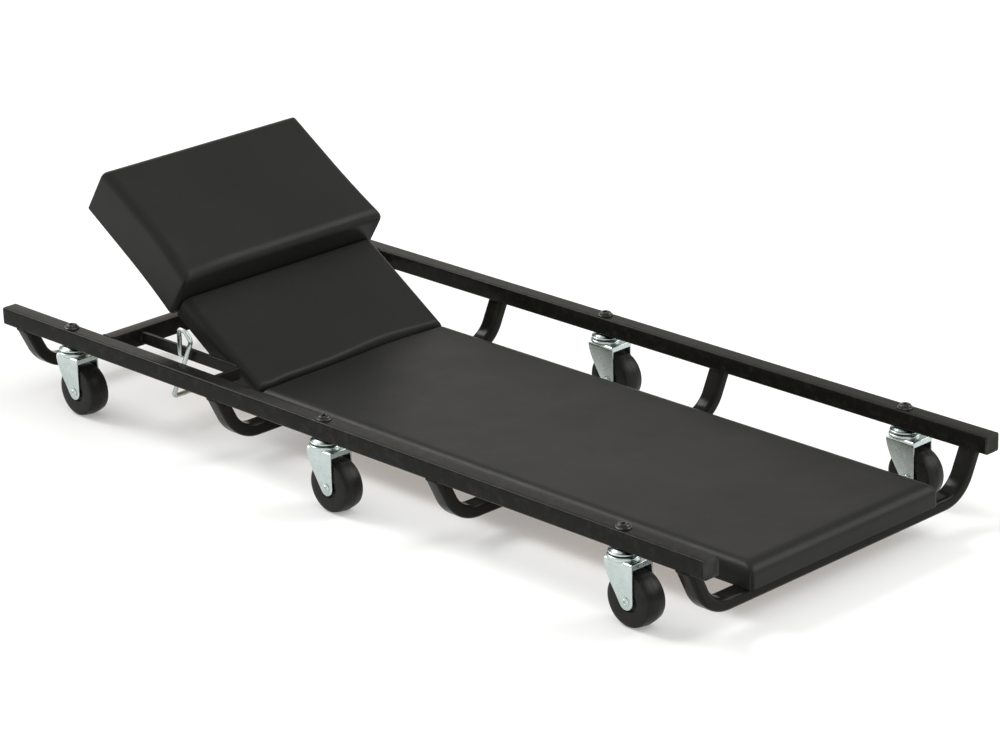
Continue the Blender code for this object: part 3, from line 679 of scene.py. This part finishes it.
def make_plywood():
    look = finish("plywood", (0.42, 0.29, 0.17), 0.62, Specular_IOR_Level=0.3)
    figure = pattern(look, "Noise", 26, (0.16, 1, 6), Detail=6, Roughness=0.62, Distortion=0.6)
    pores = pattern(look, "Noise", 900, (0.05, 1, 1), Detail=3)
    layers = pattern(look, "Wave", 90, (0, 0, 1), turn=(0, math.pi / 2, 0), Detail=2, Distortion=0.4)
    plies = ranged(look, layers, 0.4, 0.6)
    base = tinted(look, ranged(look, figure, 0.32, 0.68), (0.30, 0.19, 0.105), (0.52, 0.37, 0.225))
    base = tinted(look, worked_out(look, "MULTIPLY", plies, 0.25), base, (0.25, 0.15, 0.08))
    return dressed(look, base, ranged(look, figure, 0.3, 0.7, 0.52, 0.7), ((pores, 0.00008), (figure, 0.0001)))


def make_hinge_steel():
    look = finish("hinge_steel", (0.5, 0.5, 0.49), 0.34, 1.0)
    brushed = pattern(look, "Noise", 300, (1, 0.03, 1), Detail=4)
    grease = ranged(look, pattern(look, "Noise", 30, Detail=5), 0.45, 0.7)
    base = tinted(look, ranged(look, brushed, 0.35, 0.65), (0.44, 0.44, 0.43), (0.60, 0.60, 0.59))
    base = tinted(look, worked_out(look, "MULTIPLY", grease, 0.5), base, (0.20, 0.17, 0.13))
    return dressed(look, base, ranged(look, brushed, 0.3, 0.7, 0.28, 0.42), ((brushed, 0.00002),))


plywood = make_plywood()
hinge_steel = make_hinge_steel()
for name, cad in frame["nodes"].items():
    for word, look in (("_board", plywood), ("hinge_", hinge_steel), ("board_screw", bright_zinc)):
        if word in name:
            cad.data.materials.clear()
            cad.data.materials.append(look)


# ------------------------------------------------------------------------------------ cushions
# Foam on the boards under one skin of black vinyl with a fine leather grain, pulled tight over the edges and
# folded at each corner. The foam fills the cover, so the tops stand slightly proud and the shoulders are soft.

def make_vinyl():
    look = finish("black_vinyl", (0.014, 0.014, 0.0135), 0.4, Specular_IOR_Level=0.12, Sheen_Weight=0.003,
                  Sheen_Roughness=0.4)
    cells = pattern(look, "Voronoi", 760, Randomness=1.0)
    fine = pattern(look, "Noise", 1900, Detail=2)
    drape = pattern(look, "Noise", 17, Detail=3, Roughness=0.55)
    cloud = pattern(look, "Noise", 6, Detail=4)
    fold = node(look, "Attribute")
    fold.attribute_name = "fold"
    base = tinted(look, ranged(look, cloud, 0.35, 0.65), (0.0135, 0.0135, 0.0132), (0.0180, 0.0178, 0.0168))
    base = tinted(look, ranged(look, cells, 0.0, 0.9, 0.0, 0.35), base, (0.010, 0.010, 0.010))
    # Painted shade: the base goes nearly black in the crease of each corner fold, standing in for the shadow that falls
    # there.
    base = tinted(look, ranged(look, fold.outputs["Fac"], 0.0, 1.0, 0.0, 0.85), base, (0.003, 0.003, 0.003))
    gloss = ranged(look, drape, 0.3, 0.7, 0.36, 0.42)
    return dressed(look, base, gloss, ((cells, 0.00006), (fine, 0.00002), (drape, 0.0004)))


vinyl = make_vinyl()
hinge_at = np.array(next(j["pos_m"] for j in frame["joints"] if j["name"] == "head_tilt"), float)
HEAD_ANGLE = math.radians(33)
MITRE = math.tan(HEAD_ANGLE / 2)
GIVE = 0.0006
CORNER = 0.3
REACH = 0.0020
BOARD_HALF = 0.1303
POCKET_TOP = 0.0467 - hinge_at[2]
SIM_STEPS = 20
EVENINGS = 8
FOLD_OFFSET = 0.0010
FOLD_WIDTH = 0.0013
FOLD_DEPTH = 0.0013


def stations(low, high, low_edge, high_edge, step):
    """Places along one side: closely spaced over each edge, then about a step apart."""
    close = np.linspace(0, 1, 7)[:-1]
    count = max(round((high - low - low_edge - high_edge) / step), 2)
    middle = np.linspace(low + low_edge, high - high_edge, count + 1)
    return np.concatenate([low + low_edge * close, middle, high - high_edge * close[::-1]])


def block_lattice(xs, ys, zs):
    """The points on a box's six sides at those stations, and the quads between them, all facing out."""
    grid = np.stack(np.meshgrid(xs, ys, zs, indexing="ij"), -1)
    outer = np.ones(grid.shape[:3], bool)
    outer[1:-1, 1:-1, 1:-1] = False
    number = (np.cumsum(outer.ravel()) - 1).reshape(outer.shape)
    sides = [number[-1], number[0][::-1], number[:, -1].T, number[:, 0].T[::-1], number[..., -1], number[..., 0][::-1]]
    return grid[outer], np.vstack([lattice(side) for side in sides])


def softened(points, low, high, edge, low_edges, high_edges):
    """A box with its top edges rounded: edge deep, and as far in as each side's own number. Points are
    levelled by their angle up the round, from 0 on the side to a right angle on the top. Each level's
    outline is the plan drawn in by 1 - cos angle, so the cover folds on the diagonal at a corner."""
    from_low = points[:, :2] - low[:2]
    from_high = high[:2] - points[:, :2]
    lower = from_low < from_high
    reach = np.where(lower, low_edges, high_edges)
    far_in = np.where(lower, from_low, from_high) / reach
    nearest = far_in.min(1)
    climb = np.clip((points[:, 2] - (high[2] - edge)) / edge, 0, 1)
    top = climb > 0.9999
    flat = top & (nearest >= 0.9999)
    angle = np.where(top, np.arctan2(1, 1 - np.minimum(nearest, 1)), np.arctan2(climb, 1))
    drawn = np.where(flat, nearest, 1 - np.cos(angle))
    share = np.where(flat, 1, (1 - drawn) / np.maximum(1 - nearest, 1e-6))
    kept = np.where(far_in < 1, drawn[:, None] + (far_in - nearest[:, None]) * share[:, None], far_in)
    out = (CORNER - (kept - drawn[:, None])) / CORNER
    square = np.abs(out).max(1, keepdims=True)
    arc = drawn[:, None] + CORNER - CORNER * out / np.maximum(np.linalg.norm(out, axis=1, keepdims=True), 1e-9) * square
    kept = np.where(((out > 0).all(1) & ~flat)[:, None], arc, kept) * reach
    plan = np.where(lower, low[:2] + kept, high[:2] - kept)
    height = np.where(climb > 0, high[2] - edge * (1 - np.sin(angle)), points[:, 2])
    side = np.where(lower, -1.0, 1.0) * (np.abs(far_in - nearest[:, None]) < 1e-6)
    side /= np.maximum(np.linalg.norm(side, axis=1, keepdims=True), 1e-9)
    return np.column_stack([plan, height]), np.column_stack([side * np.cos(angle)[:, None], np.sin(angle)])


def puffed(name, points, quads, held, out):
    """The cover with the foam pushing out: a cloth under pressure, with the held points fixed.
    Its way outwards is kept up to the cover's reach, evened out with its neighbours as a thick cover does."""
    mesh = bpy.data.meshes.new(name)
    mesh.from_pydata(points.tolist(), [], quads.tolist())
    obj = bpy.data.objects.new(name, mesh)
    scene = bpy.context.scene
    scene.collection.objects.link(obj)
    moved = points
    obj.vertex_groups.new(name="held").add(np.flatnonzero(held).tolist(), 1.0, "REPLACE")
    cloth = obj.modifiers.new("cover", "CLOTH")
    cloth.settings.quality = 5
    cloth.settings.mass = 0.3
    cloth.settings.tension_stiffness = 15
    cloth.settings.compression_stiffness = 15
    cloth.settings.shear_stiffness = 8
    cloth.settings.bending_stiffness = 0.6
    cloth.settings.use_pressure = True
    cloth.settings.uniform_pressure_force = 4
    cloth.settings.vertex_group_mass = "held"
    cloth.settings.effector_weights.gravity = 0
    cloth.point_cache.frame_start = 1
    cloth.point_cache.frame_end = SIM_STEPS
    for step in range(1, SIM_STEPS + 1):
        scene.frame_set(step)
    moved = read_back(obj.evaluated_get(bpy.context.evaluated_depsgraph_get()).data)[0]
    scene.frame_set(1)
    obj.modifiers.remove(cloth)
    shift = moved - points
    rise = np.clip(np.sum(shift * out, axis=1), 0, REACH)
    around = np.vstack([quads[:, [0, 1]], quads[:, [1, 2]], quads[:, [2, 3]], quads[:, [3, 0]]])
    ends = around.ravel()
    others = around[:, ::-1].ravel()
    count = np.bincount(ends, minlength=len(points))
    for evening in range(EVENINGS):
        rise = np.where(held, 0, np.bincount(ends, rise[others], len(points)) / count)
    moved = points + rise[:, None] * out
    mesh.vertices.foreach_set("co", moved.ravel())
    smooth = obj.modifiers.new("smooth", "SUBSURF")
    smooth.levels = 1
    smooth.render_levels = 1
    result = read_back(bpy.data.meshes.new_from_object(obj.evaluated_get(bpy.context.evaluated_depsgraph_get())))
    bpy.data.objects.remove(obj)
    return result


def corner_fold(points, low, high, height):
    """Depth of the folded seam at each upright corner, 0 to 1: a narrow bell across the corner's diagonal,
    fading out towards the top. The vinyl also takes this depth as painted shade in the crease."""
    corner_x = np.minimum(points[:, 0] - low[0], high[0] - points[:, 0])
    corner_y = np.minimum(points[:, 1] - low[1], high[1] - points[:, 1])
    near_corner = (np.maximum(corner_x, corner_y) < 0.014).astype(float)
    across = corner_x - corner_y + FOLD_OFFSET
    rise = np.clip((height - points[:, 2]) / 0.006, 0, 1)
    return np.exp(-(across / FOLD_WIDTH) ** 2) * near_corner * rise


def spread(points, high, flare):
    """How many times wider the cushion is at each point, growing over 90 mm to its high end."""
    return 1 + flare * np.clip((points[:, 0] - high[0]) / 0.09 + 1, 0, 1) ** 2


def cushion(name, low, high, edge, low_edges, high_edges, step, body, node, shape, pocket, tilted, give, flare=0):
    """One cushion, worked out level about the hinge line, then turned with its board if it is tilted.
    shape moves the plain block's points first; pocket is the board's room along the length; give says
    which ends start a little short, so the foam has room to push out; flare widens the high end."""
    low = np.array(low)
    high = np.array(high)
    start_low = low + (GIVE * give[0], GIVE, 0)
    start_high = high - (GIVE * give[1], GIVE, GIVE)
    spans = [stations(start_low[i], start_high[i], low_edges[i], high_edges[i], step) for i in (0, 1)]
    rise = np.linspace(low[2] + 0.0008, start_high[2] - edge, 4)[:-1]
    spans.append(np.concatenate([low[2:], rise, start_high[2] - np.linspace(edge, 0, 6)]))
    points, quads = block_lattice(*spans)
    held = points[:, 2] < low[2] + 1e-5
    points, out = softened(points, start_low, start_high, edge, low_edges, high_edges)
    points, faces = puffed(name, shape(points), quads, held, out)
    fold_top = high[2] - edge / 2
    fold = corner_fold(points, low, high, fold_top)
    centre = np.array([(low[0] + high[0]) / 2, 0, 0])
    inward = (centre - points) * (1, 1, 0)
    inward /= np.maximum(np.linalg.norm(inward, axis=1, keepdims=True), 1e-6)
    points = points + inward * (fold * FOLD_DEPTH)[:, None]
    points[:, 1] *= spread(points, high, flare)
    inside = (np.abs(points[:, 1]) < BOARD_HALF) & (points[:, 0] > pocket[0]) & (points[:, 0] < pocket[1])
    sunk = inside & (points[:, 2] < POCKET_TOP)
    points[sunk, 2] = POCKET_TOP
    c, s = math.cos(HEAD_ANGLE * tilted), math.sin(HEAD_ANGLE * tilted)
    turn = np.array([[c, 0, -s], [0, 1, 0], [s, 0, c]])
    obj = piece(name, (points @ turn + hinge_at * (1, 0, 1), faces), vinyl, body, [node], 50)
    points = (read_back(obj.data)[0] - hinge_at * (1, 0, 1)) @ turn.T
    points[:, 1] /= spread(points, high, flare)
    # The fold depth is stored on the mesh; the vinyl paints shade into the corner creases by it.
    fold = corner_fold(points, low, high, fold_top)
    obj.data.attributes.new("fold", "FLOAT", "POINT").data.foreach_set("value", fold.astype(np.float32))


SEAM_GAP = 0.0005
HINGE_REACH = 0.045
SEAM_BELLS = ((-0.0060, 0.050, 0.055), (0.0022, -0.112, 0.012))


def hinge_side(sign):
    """A cushion's end at the hinge leans along the plane halfway between the two boards. The seam between
    the cushions wanders in two bells of (depth, place across, width): a broad bow towards the head end,
    and a tuck back beside the near corner."""

    def lean(points):
        points = points.copy()
        rise = np.clip(points[:, 2], 0, None)
        near_hinge = np.clip(1 - np.abs(points[:, 0]) / HINGE_REACH, 0, 1)
        bow = sum(depth * np.exp(-((points[:, 1] - place) / width) ** 2) for depth, place, width in SEAM_BELLS)
        points[:, 0] += (sign * (rise * MITRE + SEAM_GAP) + bow * np.clip(rise / 0.02, 0, 1)) * near_hinge
        return points

    return lean


PULL_DEPTH = 0.0050


def pulled_corner(points):
    """The pillow's cover is pulled down over its near corner at the neck, in a bell that is deepest at the top."""
    points = points.copy()
    high_up = np.clip((points[:, 2] - pad_high[2]) / (PILLOW_HIGH - pad_high[2]), 0, 1)
    away = (np.clip(points[:, 1] + PILLOW_HALF, 0, None) / 0.032) ** 2 + ((points[:, 0] - NECK_END) / 0.040) ** 2
    points[:, 2] -= PULL_DEPTH * high_up * np.exp(-away)
    return points


pad_low, pad_high = (np.array(corner) - hinge_at * (1, 0, 1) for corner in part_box("main_pad"))
NECK_END = -0.1408
HEAD_END = -0.3040
PILLOW_HALF = 0.1360
PILLOW_HIGH = 0.0940 - hinge_at[2]
BOARD_END = 0.0036
cushion(
    "main_cushion", pad_low, pad_high, 0.0125, (0.0035, 0.0130), (0.0155, 0.0130), 0.0065, "frame", "main_pad",
    shape=hinge_side(1), pocket=(-0.02, pad_high[0] - BOARD_END), tilted=False, give=(0, 1),
)
cushion(
    "neck_cushion", (NECK_END, *pad_low[1:]), (-0.0006, *pad_high[1:]), 0.0100, (0.0025, 0.0100), (0.0075, 0.0100),
    0.0055, "head_section", "neck_pad",
    shape=hinge_side(-1), pocket=(NECK_END - 0.02, 0.02), tilted=True, give=(0, 0),
)
cushion(
    "head_pillow_cushion", (HEAD_END, -PILLOW_HALF, pad_low[2]), (NECK_END - 0.0006, PILLOW_HALF, PILLOW_HIGH), 0.0105,
    (0.0095, 0.0105), (0.0125, 0.0105), 0.0055, "head_section", "head_pillow",
    shape=pulled_corner, pocket=(HEAD_END + BOARD_END, 0.0), tilted=True, give=(1, 0), flare=0.030,
)


# ------------------------------------------------------------------------------------ bail
# One length of 5 mm bright zinc wire, bent round: its ends are pinned in the prop bars, a leg hangs from
# each and a straight run joins the legs. The near side makes a finger loop above its bar first.

WIRE = 0.0025
bail_low, bail_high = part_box("bail_wire")
near_side = bail_low.y + WIRE
far_side = bail_high.y - WIRE
near_pin = near_y + PROP_THICK / 2 + 0.0012
far_pin = far_y - PROP_THICK / 2 - 0.0012
bail_corners = [(0, near_pin, 0), (0, near_side, 0), (0, near_side, 0.0310), (0.0100, near_side, 0.0290)]
bail_corners += [(0.0190, near_side, 0.0205), (-0.0160, near_side, -0.0490), (-0.0160, far_side, -0.0490)]
bail_corners += [(0, far_side, 0), (0, far_pin, 0)]
bail_line = bent(bail_corners, [0.0036, 0.0045, 0.0050, 0.0070, 0.0050, 0.0050, 0.0036], 10) + pin_at


def wire_shell(line, radius):
    """A circle carried along a bent line. The direction across it turns from level to sideways as the line
    turns from running sideways to running up, so it never meets the line's own direction."""
    ahead = np.gradient(line, axis=0)
    ahead /= np.linalg.norm(ahead, axis=1, keepdims=True)
    sideways = np.abs(ahead[:, 1:2])
    across = (1 - sideways) * (0, 1, 0) + sideways * (0.3, 0, 1)
    circle = rounded_outline(radius, radius, radius * 0.999, 4)
    return skin(carried(line, circle, across))


piece("bail", wire_shell(bail_line, WIRE), bright_zinc, "bail", ["bail_wire"], 60)


# ------------------------------------------------------------------------------------ studio
# A wide pale light table for a floor, one broad soft light overhead, narrower ones from beyond the
# head end and the far side, and a camera low over the near foot corner.

def stage_finish(name, colour, roughness):
    look = finish(name, colour, roughness, Specular_IOR_Level=0.1, Emission_Strength=0.26,
                  Emission_Color=(0.97, 0.985, 1, 1))
    paper = pattern(look, "Noise", 3, Detail=3)
    return dressed(look, tinted(look, paper, tuple(c * 0.99 for c in colour), colour))


floor_mesh = bpy.data.meshes.new("floor")
floor_mesh.from_pydata([(-40, -40, 0), (40, -40, 0), (40, 40, 0), (-40, 40, 0)], [], [(0, 1, 2, 3)])
floor_mesh.materials.append(stage_finish("pale_floor", (0.70, 0.70, 0.70), 0.9))
floor = bpy.data.objects.new("floor", floor_mesh)
bpy.context.scene.collection.objects.link(floor)

CAMERA_AZIMUTH = math.radians(46.1812)
CAMERA_HEIGHT = math.radians(20.6638)
CAMERA_ROLL = math.radians(-1.7783)
CAMERA_AIM = np.array([0.0538, -0.0133, 0.1])
CAMERA_AWAY = 3.6511
LENS_MM = 131.27


def sun(name, towards, strength, spread):
    """A broad even light from a direction; spread is its width in degrees."""
    light = bpy.data.lights.new(name, "SUN")
    light.energy = strength
    light.angle = math.radians(spread)
    obj = bpy.data.objects.new(name, light)
    bpy.context.scene.collection.objects.link(obj)
    obj.rotation_mode = "QUATERNION"
    obj.rotation_quaternion = Vector(towards).to_track_quat("Z", "Y")


sun("overhead", (0.0, 0.0, 1.0), 0.4, 70)
sun("window", (-0.70, -0.16, 0.68), 1.5, 22)
sun("far_window", (0.46, 0.62, 0.58), 1.5, 38)


def make_room():
    """The walls: grey below and overhead, pale from the skyline up to the window, paler towards the head end."""
    world = bpy.data.worlds.new("studio")
    bpy.context.scene.world = world
    world.use_nodes = True
    background = world.node_tree.nodes["Background"]
    where = world.node_tree.nodes.new("ShaderNodeTexCoord")
    parts = world.node_tree.nodes.new("ShaderNodeSeparateXYZ")
    world.node_tree.links.new(where.outputs["Generated"], parts.inputs[0])
    height = world.node_tree.nodes.new("ShaderNodeValToRGB")
    height.color_ramp.elements[0].position = 0.0
    height.color_ramp.elements[0].color = (0.55, 0.56, 0.57, 1)
    height.color_ramp.elements[1].position = 1.0
    height.color_ramp.elements[1].color = (0.45, 0.46, 0.47, 1)
    for place, shade in ((0.08, 0.92), (0.42, 0.88), (0.60, 0.40)):
        height.color_ramp.elements.new(place).color = (shade, shade * 0.975, shade * 0.91, 1)
    world.node_tree.links.new(parts.outputs["Z"], height.inputs["Fac"])
    along = world.node_tree.nodes.new("ShaderNodeMapRange")
    for socket, value in zip(("From Min", "From Max", "To Min", "To Max"), (0.52, 0.78, 1.33, 0.60)):
        along.inputs[socket].default_value = value
    world.node_tree.links.new(parts.outputs["Y"], along.inputs["Value"])
    world.node_tree.links.new(height.outputs["Color"], background.inputs["Color"])
    world.node_tree.links.new(along.outputs[0], background.inputs["Strength"])


make_room()

back = np.array([
    math.sin(CAMERA_AZIMUTH) * math.cos(CAMERA_HEIGHT),
    -math.cos(CAMERA_AZIMUTH) * math.cos(CAMERA_HEIGHT),
    math.sin(CAMERA_HEIGHT),
])
level = np.cross((0, 0, 1), back)
level /= np.linalg.norm(level)
upright = np.cross(back, level)
right = math.cos(CAMERA_ROLL) * level + math.sin(CAMERA_ROLL) * upright
up = math.cos(CAMERA_ROLL) * upright - math.sin(CAMERA_ROLL) * level
camera_data = bpy.data.cameras.new("camera")
camera_data.lens = LENS_MM
camera_data.sensor_width = 36
camera_data.clip_end = 200
camera = bpy.data.objects.new("camera", camera_data)
bpy.context.scene.collection.objects.link(camera)
rows = np.column_stack([right, up, back, CAMERA_AIM + back * CAMERA_AWAY]).tolist()
camera.matrix_world = Matrix(rows + [[0, 0, 0, 1]])
bpy.context.scene.camera = camera
bpy.context.scene.view_settings.view_transform = "Standard"
